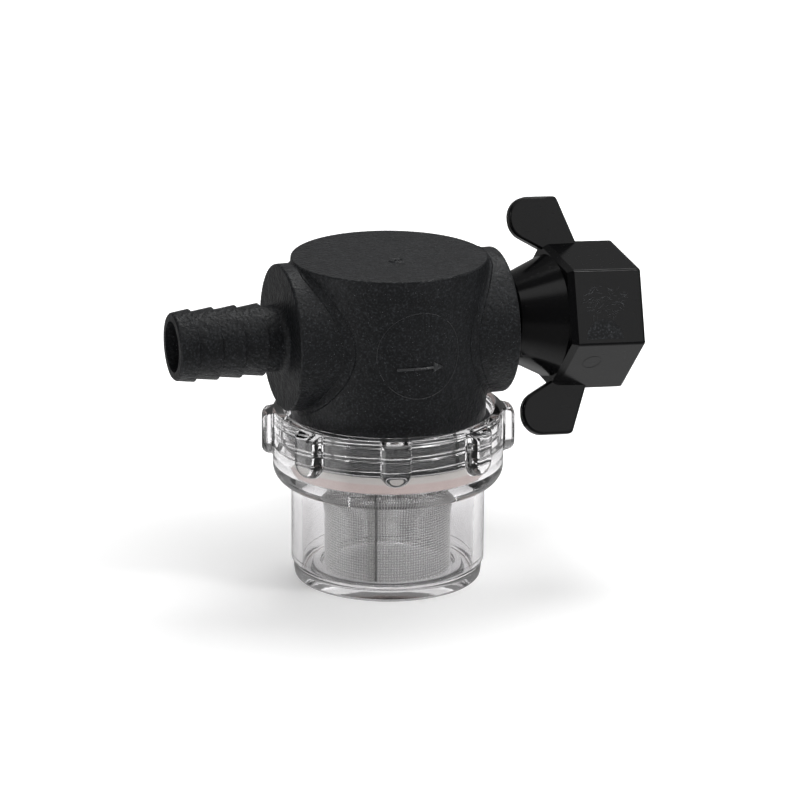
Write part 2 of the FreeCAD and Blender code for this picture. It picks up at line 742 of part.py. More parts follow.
def check_document():
    """Stops if any object failed, or if a feature did not add or cut what it should."""
    for item in document.Objects:
        if "Invalid" in item.State or "Error" in item.State:
            raise RuntimeError(f"{item.Name} failed: {item.State}")
        base = getattr(item, "BaseFeature", None)
        if base is None:
            continue
        change = item.Shape.Volume - base.Shape.Volume
        cuts = item.TypeId in ("PartDesign::Groove", "PartDesign::Pocket")
        adds = item.TypeId in ("PartDesign::Pad", "PartDesign::Revolution")
        if (cuts and change > -FINE) or (adds and change < FINE):
            raise RuntimeError(f"{item.Name} changes the volume by {change:.4f}")


def export(parts):
    """Checks each sub-part and writes it to its own file."""
    os.makedirs("parts", exist_ok=True)
    for part in parts:
        if part.Shape.isNull() or not part.Shape.isValid() or len(part.Shape.Solids) != 1:
            raise RuntimeError(f"{part.Label} has no sound solid")
    for part in parts:
        part.Shape.exportStep(f"parts/{part.Label}.step")
        print(f"{part.Label}: {part.Shape.Volume:.1f} mm3")


def main():
    """Builds the sheet and the sub-parts, checks them and writes them."""
    write_sheet()
    parts = [
        make_head(),
        make_tailpiece(),
        make_bowl(),
        make_gasket(),
        make_screen(),
        make_swivel_nut(),
        make_nut_washer(),
    ]
    document.recompute()
    check_document()
    export(parts)


main()
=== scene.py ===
"""Looks of a twist-on water strainer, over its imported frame.

The frame gives the head, the nut, the tailpiece and the rubber rings. This file gives them their finishes and
adds what is too fine for the frame: the clear bowl as one polished surface with its thread and grip lugs, the
woven wire screen, the threads, and the small marks that the mould left. Sizes are in millimetres in the
sub-assemblies' classes, and in metres in the meshes and the studio. +Z is up the bowl's axis and +X is the
way the water flows.
"""

import json
import logging
import math
from dataclasses import dataclass
from enum import Enum
from typing import Any

import bpy
import numpy as np
from bpy.types import Material, NodeSocket, NodeTree, Object
from mathutils import Matrix, Vector


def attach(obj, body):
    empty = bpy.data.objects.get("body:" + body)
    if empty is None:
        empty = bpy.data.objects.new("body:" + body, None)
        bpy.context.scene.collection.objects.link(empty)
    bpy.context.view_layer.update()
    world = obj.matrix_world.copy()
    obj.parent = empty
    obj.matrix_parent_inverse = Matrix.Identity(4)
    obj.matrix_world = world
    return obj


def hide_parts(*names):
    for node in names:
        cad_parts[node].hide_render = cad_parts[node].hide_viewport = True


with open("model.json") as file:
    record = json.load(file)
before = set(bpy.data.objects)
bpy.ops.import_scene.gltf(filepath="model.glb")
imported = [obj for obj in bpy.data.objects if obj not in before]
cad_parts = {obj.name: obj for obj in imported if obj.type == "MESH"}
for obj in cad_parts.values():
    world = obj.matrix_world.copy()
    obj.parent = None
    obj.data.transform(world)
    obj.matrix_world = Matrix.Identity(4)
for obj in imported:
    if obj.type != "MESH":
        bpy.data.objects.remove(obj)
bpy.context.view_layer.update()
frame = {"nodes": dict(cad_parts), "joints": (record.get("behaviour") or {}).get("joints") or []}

MM = 0.001
TURN = 2 * math.pi
UP = np.array([0.0, 0.0, 1.0])
BOWL_PITCH = 3.0
BOWL_PHASE = 1.1
PIPE_PITCH = 1.814
Shape = tuple[np.ndarray, list[np.ndarray]]
log = logging.getLogger("strainer")


class Side(Enum):
    """Which wall a screw thread stands on: the sign says which way its ridge points."""

    MALE = 1
    FEMALE = -1


# ---------------------------------------------------------------- mesh helpers


def add_piece(
    name: str, points: np.ndarray, faces: list[np.ndarray], material: Material, body: str, slot: str
) -> Object:
    """Makes one smooth mesh object that rides on a body.

    Args:
        name: the piece's name.
        points: (n, 3) corners in millimetres, in the row frame.
        faces: arrays of corner numbers, one array for each face size.
        material: its finish.
        body: the body it moves with.
        slot: the record's material slot; not used.

    Returns:
        The new object, standing at the origin.
    """
    mesh = bpy.data.meshes.new(name)
    mesh.vertices.add(len(points))
    mesh.vertices.foreach_set("co", (points * MM).astype(np.float32).ravel())
    corners = np.concatenate([block.ravel() for block in faces])
    sizes = np.concatenate([np.full(len(block), block.shape[1]) for block in faces])
    mesh.loops.add(len(corners))
    mesh.loops.foreach_set("vertex_index", corners.astype(np.int32))
    mesh.polygons.add(len(sizes))
    mesh.polygons.foreach_set("loop_start", np.concatenate([[0], np.cumsum(sizes)[:-1]]).astype(np.int32))
    mesh.polygons.foreach_set("use_smooth", np.ones(len(sizes), bool))
    mesh.update(calc_edges=True)
    mesh.validate()
    mesh.materials.append(material)
    piece = bpy.data.objects.new(name, mesh)
    bpy.context.scene.collection.objects.link(piece)
    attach(piece, body)
    log.info("%s: %d faces on %s", name, len(sizes), body)
    return piece


def grid_faces(rows: int, columns: int, close_rows: bool = False, close_columns: bool = False) -> np.ndarray:
    """Four-sided faces of a grid of points numbered row by row.

    Args:
        rows: number of rows of points.
        columns: points in a row.
        close_rows: the last row joins the first.
        close_columns: the last column joins the first.

    Returns:
        (n, 4) corner numbers.
    """
    i = np.arange(rows if close_rows else rows - 1)[:, None]
    j = np.arange(columns if close_columns else columns - 1)[None, :]
    here, above, right = i * columns, (i + 1) % rows * columns, (j + 1) % columns
    return np.stack([here + j, here + right, above + right, above + j], -1).reshape(-1, 4)


def fan_faces(rim: np.ndarray, pole: int, turned: bool = False) -> np.ndarray:
    """Triangles from a closed rim of points to one pole.

    Args:
        rim: corner numbers round the rim.
        pole: the pole's number.
        turned: reverses the way the faces point.

    Returns:
        (n, 3) corner numbers.
    """
    after = np.roll(rim, -1)
    order = (after, rim) if turned else (rim, after)
    return np.stack([*order, np.full(len(rim), pole)], -1)


def tube_points(path: np.ndarray, side: np.ndarray, lift: np.ndarray, outline: np.ndarray) -> np.ndarray:
    """A closed outline carried along paths: point = path + x of the outline * side + y of the outline * lift.

    Args:
        path: (..., steps, 3) middle of the section.
        side: unit vectors of the section's x, broadcast against path.
        lift: unit vectors of the section's y.
        outline: (k, 2) section, or (..., steps, k, 2) where it changes along the path.

    Returns:
        (..., steps, k, 3) points.
    """
    x, y = outline[..., 0:1], outline[..., 1:2]
    return path[..., None, :] + x * side[..., None, :] + y * lift[..., None, :]


def many_tubes(points: np.ndarray, closed: bool) -> Shape:
    """Joins a stack of swept tubes into one mesh.

    Args:
        points: (tubes, steps, k, 3).
        closed: each tube ends where it starts; otherwise both its ends are closed flat.

    Returns:
        The points in one list, and the faces.
    """
    tubes, steps, sides = points.shape[:3]
    walls = grid_faces(steps, sides, close_rows=closed, close_columns=True)
    starts = (np.arange(tubes) * steps * sides)[:, None, None]
    faces = [(starts + walls[None]).reshape(-1, 4)]
    if not closed:
        ends = np.stack([np.arange(sides)[::-1], (steps - 1) * sides + np.arange(sides)])
        faces.append((starts + ends[None]).reshape(-1, sides))
    return points.reshape(-1, 3), faces


def ring_outline(radius: float, sides: int) -> np.ndarray:
    """A circle of the given radius as (sides, 2) points, counter-clockwise."""
    angle = TURN * np.arange(sides) / sides
    return radius * np.stack([np.cos(angle), np.sin(angle)], -1)


def polar(radius: Any, angle: Any, height: Any) -> np.ndarray:
    """Points from cylinder coordinates: (radius * cos angle, radius * sin angle, height)."""
    radius, angle, height = np.broadcast_arrays(radius, angle, height)
    return np.stack([radius * np.cos(angle), radius * np.sin(angle), height], -1)


def ramp(value: np.ndarray, start: float, end: float) -> np.ndarray:
    """0 before start, 1 after end, and 3t^2 - 2t^3 between them."""
    part = np.clip((value - start) / (end - start), 0, 1)
    return part * part * (3 - 2 * part)


def rounded_path(corners: list[tuple[float, float, float, int]]) -> np.ndarray:
    """A profile through corners, each replaced by an arc, with the straight run after it split up.

    The arc's centre lies on the corner's bisector at radius / sin(half the corner's angle), and the runs end
    at radius / tan(half the angle) from the corner. The first and last corners stay as points.

    Args:
        corners: (radius from the axis, height, rounding, pieces that the run after it is split in).

    Returns:
        (n, 2) points.
    """
    places = np.array([corner[:2] for corner in corners], float)
    bends = [places[:1]]
    for before, here, after, corner in zip(places, places[1:], places[2:], corners[1:]):
        rounding = corner[2]
        back = (before - here) / np.linalg.norm(before - here)
        on = (after - here) / np.linalg.norm(after - here)
        half = math.acos(np.clip(back @ on, -1, 1)) / 2
        reach = rounding / math.tan(half)
        centre = here + (back + on) / np.linalg.norm(back + on) * rounding / math.sin(half)
        first, last = here + back * reach - centre, here + on * reach - centre
        sweep = math.acos(np.clip(first @ last / rounding**2, -1, 1))
        part = np.linspace(0, 1, 4 + int(2.5 * rounding))[:, None]
        arc = np.sin((1 - part) * sweep) * first + np.sin(part * sweep) * last
        bends.append(centre + arc / math.sin(sweep))
    bends.append(places[-1:])
    path = [bends[0]]
    for bend, after, corner in zip(bends, bends[1:], corners):
        part = np.linspace(0, 1, corner[3] + 1)[1:-1, None]
        path += [bend[-1] * (1 - part) + after[0] * part, after]
    return np.concatenate(path)


# ---------------------------------------------------------------- finishes


def linear(code: str) -> tuple[float, float, float, float]:
    """Turns an sRGB hex colour such as '#1a2b3c' to linear light with alpha 1."""
    parts = [int(code[i : i + 2], 16) / 255 for i in (1, 3, 5)]
    red, green, blue = [p / 12.92 if p <= 0.04045 else ((p + 0.055) / 1.055) ** 2.4 for p in parts]
    return red, green, blue, 1.0


def add_node(tree: NodeTree, kind: str, inputs: dict[Any, Any] | None = None, **settings: Any) -> Any:
    """Adds a node with its settings, values and links.

    Args:
        tree: the node tree.
        kind: the node's type, without ShaderNode before it.
        inputs: value or output socket for each input, by name or number.
        **settings: the node's own properties.

    Returns:
        The node.
    """
    node = tree.nodes.new("ShaderNode" + kind)
    for name, value in settings.items():
        setattr(node, name, value)
    for name, value in (inputs or {}).items():
        if isinstance(value, NodeSocket):
            tree.links.new(value, node.inputs[name])
        else:
            node.inputs[name].default_value = value
    return node


def new_material(name: str) -> tuple[Material, NodeTree]:
    """A material without nodes, and its tree."""
    material = bpy.data.materials.new(name)
    material.use_nodes = True
    material.node_tree.nodes.clear()
    return material, material.node_tree


def finished(material: Material, look: dict[str, Any]) -> Material:
    """Closes a material's tree with a Principled shader and the output.

    Args:
        material: the material.
        look: the shader's inputs, as add_node takes them.

    Returns:
        The same material.
    """
    shader = add_node(material.node_tree, "BsdfPrincipled", look)
    add_node(material.node_tree, "OutputMaterial", {"Surface": shader.outputs[0]})
    return material


def grain(tree: NodeTree, size: float, detail: float, stretch: tuple[float, float, float] = (1, 1, 1)) -> Any:
    """Noise in Object coordinates.

    Args:
        tree: the node tree.
        size: size of one grain in millimetres.
        detail: octaves.
        stretch: scale of the pattern along each axis.

    Returns:
        The socket of its 0 to 1 value.
    """
    place = add_node(tree, "TexCoord").outputs["Object"]
    mapped = add_node(tree, "Mapping", {"Vector": place, "Scale": stretch}).outputs[0]
    scale = 1 / (size * MM)
    return add_node(tree, "TexNoise", {"Vector": mapped, "Scale": scale, "Detail": detail}).outputs[0]


@dataclass(frozen=True)
class MouldedBlack:
    """Black plastic with a matt grain: glass-filled nylon from a spark-eroded tool, or worn acetal.

    The grain gives the eye a soft mottling, and the glass fibres pale specks. Where fine noise peaks, paler
    patches are painted glints, the sparkle of the grain under the lamps. Real grain and fibres are too fine
    to show, so both are drawn coarser.
    """

    name: str = "glass_filled_nylon_moulded_black"
    dark: str = "#101112"
    pale: str = "#1c1d1f"
    # Colour of the painted glints.
    painted_glint: str = "#2e3033"
    speck: str = "#75787c"
    cloud_mm: float = 5.0
    painted_glint_mm: float = 0.42
    speck_spacing_mm: float = 0.5
    speck_share: float = 0.6
    grain_mm: float = 0.9
    grain_height_mm: float = 0.32
    rub_mm: float = 2.2
    roughness: float = 0.42
    shine: float = 0.165
    ior: float = 1.53

    def material(self) -> Material:
        """Dark base clouded by broad noise, painted glints where fine noise peaks, a fine bump, and small
        specks.

        The specks are the middles of a Voronoi pattern's cells, of those whose random value is above the
        share.

        Returns:
            The new material.
        """
        material, tree = new_material(self.name)
        clouds = {0: grain(tree, self.cloud_mm, 3.0), 6: linear(self.dark), 7: linear(self.pale)}
        base = add_node(tree, "Mix", clouds, data_type="RGBA").outputs[2]
        # Painted glints: where the fine noise peaks, the base colour turns paler, standing in for sparkles of
        # lamp light.
        peaks = {0: grain(tree, self.painted_glint_mm, 2.0), 1: 0.5, 2: 0.74}
        sheen = add_node(tree, "MapRange", peaks).outputs[0]
        sheened = {0: sheen, 6: base, 7: linear(self.painted_glint)}
        mottled_and_glinted = add_node(tree, "Mix", sheened, data_type="RGBA").outputs[2]
        spread = {
            "Vector": add_node(tree, "TexCoord").outputs["Object"],
            "Scale": 1 / (self.speck_spacing_mm * MM),
        }
        cells = add_node(tree, "TexVoronoi", spread).outputs
        dot = add_node(tree, "MapRange", {0: cells["Distance"], 1: 0.08, 2: 0.16, 3: 1.0, 4: 0.0})
        chance = add_node(tree, "SeparateColor", {0: cells["Color"]}).outputs[0]
        chosen = add_node(tree, "MapRange", {0: chance, 1: self.speck_share, 2: 1.0})
        both = {0: dot.outputs[0], 1: chosen.outputs[0]}
        specks = add_node(tree, "Math", both, operation="MULTIPLY").outputs[0]
        specked = {0: specks, 6: mottled_and_glinted, 7: linear(self.speck)}
        low, high = self.roughness - 0.08, self.roughness + 0.08
        rough = {0: grain(tree, self.rub_mm, 4.0), 1: 0.3, 2: 0.7, 3: low, 4: high}
        bump = {"Height": grain(tree, self.grain_mm, 3.0), "Distance": self.grain_height_mm * MM}
        look = {
            "Base Color": add_node(tree, "Mix", specked, data_type="RGBA").outputs[2],
            "Roughness": add_node(tree, "MapRange", rough).outputs[0],
            "Normal": add_node(tree, "Bump", bump).outputs[0],
            "IOR": self.ior,
            "Specular IOR Level": self.shine,
        }
        return finished(material, look)


@dataclass(frozen=True)
class GlossBlack:
    """Acetal, black, moulded in a polished tool: deep gloss with slight sink waves and rubbed streaks."""

    name: str = "acetal_moulded_gloss_black"
    colour: str = "#0a0a0b"
    roughness: float = 0.16
    shine: float = 0.21
    ior: float = 1.48
    wave_mm: float = 6.0
    wave_height_mm: float = 0.012
    streak_mm: float = 0.35

    def material(self) -> Material:
        """Near-black base; broad bump for sink waves; thin stretched noise that roughens a few streaks."""
        material, tree = new_material(self.name)
        streaks = grain(tree, self.streak_mm, 2.0, stretch=(0.25, 1.0, 2.2))
        rough = {0: streaks, 1: 0.62, 2: 0.8, 3: self.roughness, 4: self.roughness + 0.22}
        bump = {"Height": grain(tree, self.wave_mm, 1.0), "Distance": self.wave_height_mm * MM}
        look = {
            "Base Color": linear(self.colour),
            "Roughness": add_node(tree, "MapRange", rough).outputs[0],
            "Normal": add_node(tree, "Bump", bump).outputs[0],
            "IOR": self.ior,
            "Specular IOR Level": self.shine,
        }
        return finished(material, look)


@dataclass(frozen=True)
class ClearMoulding:
    """Polycarbonate, water-clear, from a polished tool: bright refracted edges and a hint of grey."""

    name: str = "polycarbonate_moulded_clear"
    colour: str = "#ebeaeb"
    roughness: float = 0.02
    ior: float = 1.585
    wave_mm: float = 3.0
    wave_height_mm: float = 0.004

    def material(self) -> Material:
        """Full transmission at the real index of refraction, with faint flow waves."""
        material, tree = new_material(self.name)
        bump = {"Height": grain(tree, self.wave_mm, 1.0), "Distance": self.wave_height_mm * MM}
        look = {
            "Base Color": linear(self.colour),
            "Roughness": self.roughness,
            "IOR": self.ior,
            "Transmission Weight": 1.0,
            "Normal": add_node(tree, "Bump", bump).outputs[0],
        }
        return finished(material, look)


@dataclass(frozen=True)
class WovenWire:
    """Stainless steel wire, drawn and woven: bright on outer crossings, with painted shade where it passes
    under.

    Drawing marks and film too fine to model scatter much of the light, so the wire is only partly metallic.
    """

    name: str = "stainless_wire_drawn"
    colour: str = "#ffffff"
    # Colour of the painted shade where the wire passes under.
    painted_valley_shade: str = "#a6a5a3"
    bare: float = 0.2
    bright_from_mm: float = 13.04
    bright_over_mm: float = 0.14
    mark_mm: float = 0.5
    roughness: float = 0.3

    def material(self) -> Material:
        """Metal whose colour brightens away from the Z axis, painted shade nearer it, and whose roughness
        varies by noise.
        """
        material, tree = new_material(self.name)
        place = add_node(tree, "TexCoord").outputs["Object"]
        flat = {0: place, 1: (1.0, 1.0, 0.0)}
        level = add_node(tree, "VectorMath", flat, operation="MULTIPLY").outputs[0]
        out = add_node(tree, "VectorMath", {0: level}, operation="LENGTH").outputs["Value"]
        start = self.bright_from_mm * MM
        outer = {0: out, 1: start, 2: start + self.bright_over_mm * MM}
        # Painted shade: rubbed is the share of the bright colour. It grows with the distance from the axis,
        # so the wire is darker in the weave's hollows.
        rubbed = add_node(tree, "MapRange", outer).outputs[0]
        tone = {0: rubbed, 6: linear(self.painted_valley_shade), 7: linear(self.colour)}
        low, high = self.roughness - 0.07, self.roughness + 0.1
        rough = {0: grain(tree, self.mark_mm, 2.0), 1: 0.3, 2: 0.7, 3: low, 4: high}
        look = {
            "Base Color": add_node(tree, "Mix", tone, data_type="RGBA").outputs[2],
            "Metallic": self.bare,
            "Roughness": add_node(tree, "MapRange", rough).outputs[0],
        }
        return finished(material, look)


@dataclass(frozen=True)
class MouldedRubber:
    """Soft rubber, pressed flat: matt, slightly clouded, and paler above a height if it has one, as painted
    light.
    """

    name: str
    dark: str
    pale: str
    # Colour of the painted light on the top.
    painted_top_light: str = "#dbd7d2"
    painted_light_from_mm: float = 1000.0
    painted_light_blend_mm: float = 0.2
    cloud_mm: float = 3.0
    grain_mm: float = 0.4
    grain_height_mm: float = 0.02
    roughness: float = 0.6

    def material(self) -> Material:
        """Two tones by broad noise, a third, paler one above a height as painted light, and a fine bump."""
        material, tree = new_material(self.name)
        clouds = {0: grain(tree, self.cloud_mm, 2.0), 6: linear(self.dark), 7: linear(self.pale)}
        base = add_node(tree, "Mix", clouds, data_type="RGBA").outputs[2]
        place = add_node(tree, "TexCoord").outputs["Object"]
        height = add_node(tree, "SeparateXYZ", {0: place}).outputs[2]
        # Painted light: above the height the colour turns paler, standing in for the bright band over the
        # gasket's top.
        edge, blend = self.painted_light_from_mm * MM, self.painted_light_blend_mm * MM
        share = add_node(tree, "MapRange", {0: height, 1: edge - blend, 2: edge + blend}).outputs[0]
        lit_top = {0: share, 6: base, 7: linear(self.painted_top_light)}
        bump = {"Height": grain(tree, self.grain_mm, 2.0), "Distance": self.grain_height_mm * MM}
        look = {
            "Base Color": add_node(tree, "Mix", lit_top, data_type="RGBA").outputs[2],
            "Normal": add_node(tree, "Bump", bump).outputs[0],
            "Roughness": self.roughness,
        }
        return finished(material, look)


def dress(node: str, material: Material) -> None:
    """Gives a frame node its finish.

    Args:
        node: the node's name.
        material: its finish.
    """
    mesh = frame["nodes"][node].data
    mesh.materials.clear()
    mesh.materials.append(material)
    log.info("%s: frame node, %s", node, material.name)


# ---------------------------------------------------------------- threads


@dataclass
class Thread:
    """A right-handed screw thread about the Z axis, with a trapezoid ridge."""

    root: float
    depth: float
    pitch: float
    low: float
    high: float
    phase: float
    crest: float
    foot: float
    side: Side
    fade: float = 1.3
    sink: float = 0.06

    def ends(self, height: np.ndarray) -> np.ndarray:
        """1 along the thread, falling to 0 over the fade at its low and its high end."""
        start = ramp(height, self.low, self.low + self.fade)
        return start * (1 - ramp(height, self.high - self.fade, self.high))

    def relief(self, angle: np.ndarray, height: np.ndarray) -> np.ndarray:
        """Height of the ridge above the root at an angle and height, in millimetres.

        The ridge's middle lies at phase + pitch * angle / turn. The relief is the depth out to half the
        crest's width from there and falls to nothing at half the foot's width, and it fades out at both ends.

        Args:
            angle: angle round the axis.
            height: height on the axis.

        Returns:
            The relief, broadcast over both.
        """
        place = (height - self.phase) / self.pitch - angle / TURN
        away = np.abs(place - np.round(place)) * self.pitch
        return self.depth * (1 - ramp(away, self.crest / 2, self.foot / 2)) * self.ends(height)

    def ridge(self, around: int) -> Shape:
        """The ridge as a closed ribbon: its trapezoid section is carried along the helix.

        At angle t the middle is at height phase + pitch * t / turn, and the section's width and depth shrink
        to almost nothing over the fade at each end. The section's foot is sunk in the wall.

        Args:
            around: steps in one turn.

        Returns:
            The points and the faces.
        """
        start = (self.low - self.phase) / self.pitch * TURN
        end = (self.high - self.phase) / self.pitch * TURN
        angle = np.linspace(start, end, int((end - start) / TURN * around))
        height = self.phase + self.pitch * angle / TURN
        size = np.maximum(self.ends(height), 0.03)[:, None]
        half = np.array([self.crest * 0.7, self.crest, self.foot, self.foot]) / 2
        rise = np.array([self.depth, self.depth * 0.93, 0.0, -self.sink])
        across, out = np.concatenate([-half[::-1], half]), np.concatenate([rise[::-1], rise])
        radius = self.root + self.side.value * np.where(out > 0, out * size, out)
        if self.side is Side.MALE:
            across, radius = across[::-1], radius[:, ::-1]
        points = polar(radius, angle[:, None], height[:, None] + across * np.sqrt(size))
        return many_tubes(points[None], closed=False)


# ---------------------------------------------------------------- sub-assemblies


@dataclass
class Head:
    """The black moulding, with the thread on its skirt and the small marks on its trunk."""

    skirt_radius: float = 20.0
    trunk_radius: float = 20.3
    trunk_top: float = 68.7
    pipe_height: float = 53.2
    barrel_radius: float = 15.15
    joint_round: float = 1.1
    arrow_start: float = -4.7
    arrow_end: float = 5.1
    arrow_head: float = 2.1
    arrow_height: float = 50.3
    shaft_half: float = 0.26
    head_half: float = 1.15
    mark_relief: float = 0.32
    insert_place: tuple[float, float] = (0.2, 52.9)
    insert_radius: float = 9.0
    insert_line: float = 0.07
    gate_place: tuple[float, float] = (0.3, -4.3)
    sink: float = 0.05

    def thread(self) -> Thread:
        """The male thread that the bowl screws on to."""
        ridge = {"pitch": BOWL_PITCH, "phase": BOWL_PHASE, "depth": 1.3, "crest": 0.8, "foot": 1.75}
        return Thread(root=self.skirt_radius, low=27.8, high=35.2, side=Side.MALE, **ridge)

    def on_trunk(self, across: np.ndarray, height: np.ndarray, lift: np.ndarray) -> np.ndarray:
        """Wraps flat places round the trunk: across / radius is the angle from -Y, lift is above the wall."""
        return polar(self.trunk_radius + lift, across / self.trunk_radius - TURN / 4, height)

    def arrow(self) -> Shape:
        """Raised flow arrow: bars between a low and a high edge, wrapped round the trunk.

        Shaft and head are one grid: at each place along the arrow, its half width is the shaft's up to the
        neck, then falls straight to nothing at the tip. The section is a flat top with sloping flanks.

        Returns:
            The points and the faces.
        """
        neck = self.arrow_end - self.arrow_head
        shaft, head = np.linspace(self.arrow_start, neck, 24), np.linspace(neck + 0.02, self.arrow_end, 8)
        along = np.concatenate([shaft, head])
        taper = self.head_half * (self.arrow_end - along) / (self.arrow_end - neck)
        half = np.maximum(np.where(along <= neck, self.shaft_half, taper), 0.02)[:, None]
        out = np.array([-self.sink, 0.0, self.mark_relief, self.mark_relief, 0.0, -self.sink])
        across = np.array([1.0, 1.0, 0.8, -0.8, -1.0, -1.0])
        points = self.on_trunk(along[:, None], self.arrow_height + half * across, out[None, :])
        return many_tubes(points[None], closed=False)

    def mould_line(self) -> Shape:
        """Fine round line left by a mould insert: a thin half-buried tube along a circle on the trunk.

        Returns:
            The points and the faces.
        """
        steps = 160
        angle = TURN * np.arange(steps)[:, None] / steps
        section = ring_outline(self.insert_line, 6)
        reach = self.insert_radius + section[:, 0]
        across, height = self.insert_place
        lift = section[:, 1][None, :]
        points = self.on_trunk(across + reach * np.cos(angle), height + reach * np.sin(angle), lift)
        return many_tubes(points[None], closed=True)

    def gate_mark(self) -> Shape:
        """Broken-off gate on the top face: a turned profile, with a low ring round a dimple with a small nub.

        Returns:
            The points and the faces.
        """
        ring = [[1.9, -self.sink], [1.7, 0.1], [1.45, 0.26], [1.15, 0.24]]
        dimple_and_nub = [[0.9, 0.02], [0.65, 0.01], [0.45, 0.26], [0.2, 0.4]]
        profile = np.array(ring + dimple_and_nub)
        tip, steps, rows = 0.42, 48, len(profile)
        angle = TURN * np.arange(steps) / steps
        points = polar(profile[:, 0:1], angle, self.trunk_top + profile[:, 1:2]).reshape(-1, 3)
        points = np.concatenate([points, [[0, 0, self.trunk_top + tip]]]) + np.array([*self.gate_place, 0])
        last = np.arange(steps) + (rows - 1) * steps
        return points, [grid_faces(rows, steps, close_columns=True), fan_faces(last, rows * steps)]

    def joint_fillet(self, way: int) -> Shape:
        """Small concave round where the cross barrel leaves the trunk.

        The corner line is where the two cylinders meet: at angle t round the barrel, y = R cos t, z = R sin t
        above the pipe axis, and x is on the trunk. The section is a quadratic curve from a point on the
        barrel, one rounding outwards, to a point on the trunk, one rounding away from the barrel's axis. Its
        control point is the corner, and the corner sunk into both walls closes it. The rounding shrinks near
        the top, where the trunk ends.

        Args:
            way: 1 for the outlet side, -1 for the inlet side.

        Returns:
            The points and the faces.
        """
        steps, sink = 200, 0.08
        angle = TURN * np.arange(steps) / steps
        reach = self.joint_round * (1 - 0.62 * ramp(np.sin(angle), 0.9, 1.0))[:, None]

        def corner(radius: np.ndarray | float, out: np.ndarray | float) -> np.ndarray:
            """Points at a radius round the barrel's axis, out beyond the trunk's wall."""
            y, z = radius * np.cos(angle)[:, None], radius * np.sin(angle)[:, None]
            x = way * (np.sqrt(self.trunk_radius**2 - y**2) + out)
            return np.stack(np.broadcast_arrays(x, y, self.pipe_height + z), -1)

        on_barrel = corner(self.barrel_radius, reach)
        at_corner = corner(self.barrel_radius, 0.0)
        on_trunk = corner(self.barrel_radius + reach, 0.0)
        sunk = corner(self.barrel_radius - sink, -sink)
        part = np.linspace(0, 1, 7)[None, :, None]
        curve = (1 - part) ** 2 * on_barrel + 2 * part * (1 - part) * at_corner + part**2 * on_trunk
        section = np.concatenate([curve, sunk], axis=1)
        return many_tubes(section[None] if way > 0 else section[None, :, ::-1], closed=True)

    def build(self, black: Material, rubbed: Material) -> None:
        """Dresses the moulding and adds its thread and marks.

        Args:
            black: the head's finish.
            rubbed: the finish of the marks that stand proud.
        """
        dress("head", black)
        dress("tailpiece", black)
        for name, shape, finish in (
            ("head_thread", self.thread().ridge(140), black),
            ("flow_arrow", self.arrow(), rubbed),
            ("mould_line", self.mould_line(), rubbed),
            ("gate_mark", self.gate_mark(), black),
            ("inlet_fillet", self.joint_fillet(-1), black),
            ("outlet_fillet", self.joint_fillet(1), black),
        ):
            add_piece(name, *shape, finish, "head", "black_moulding")


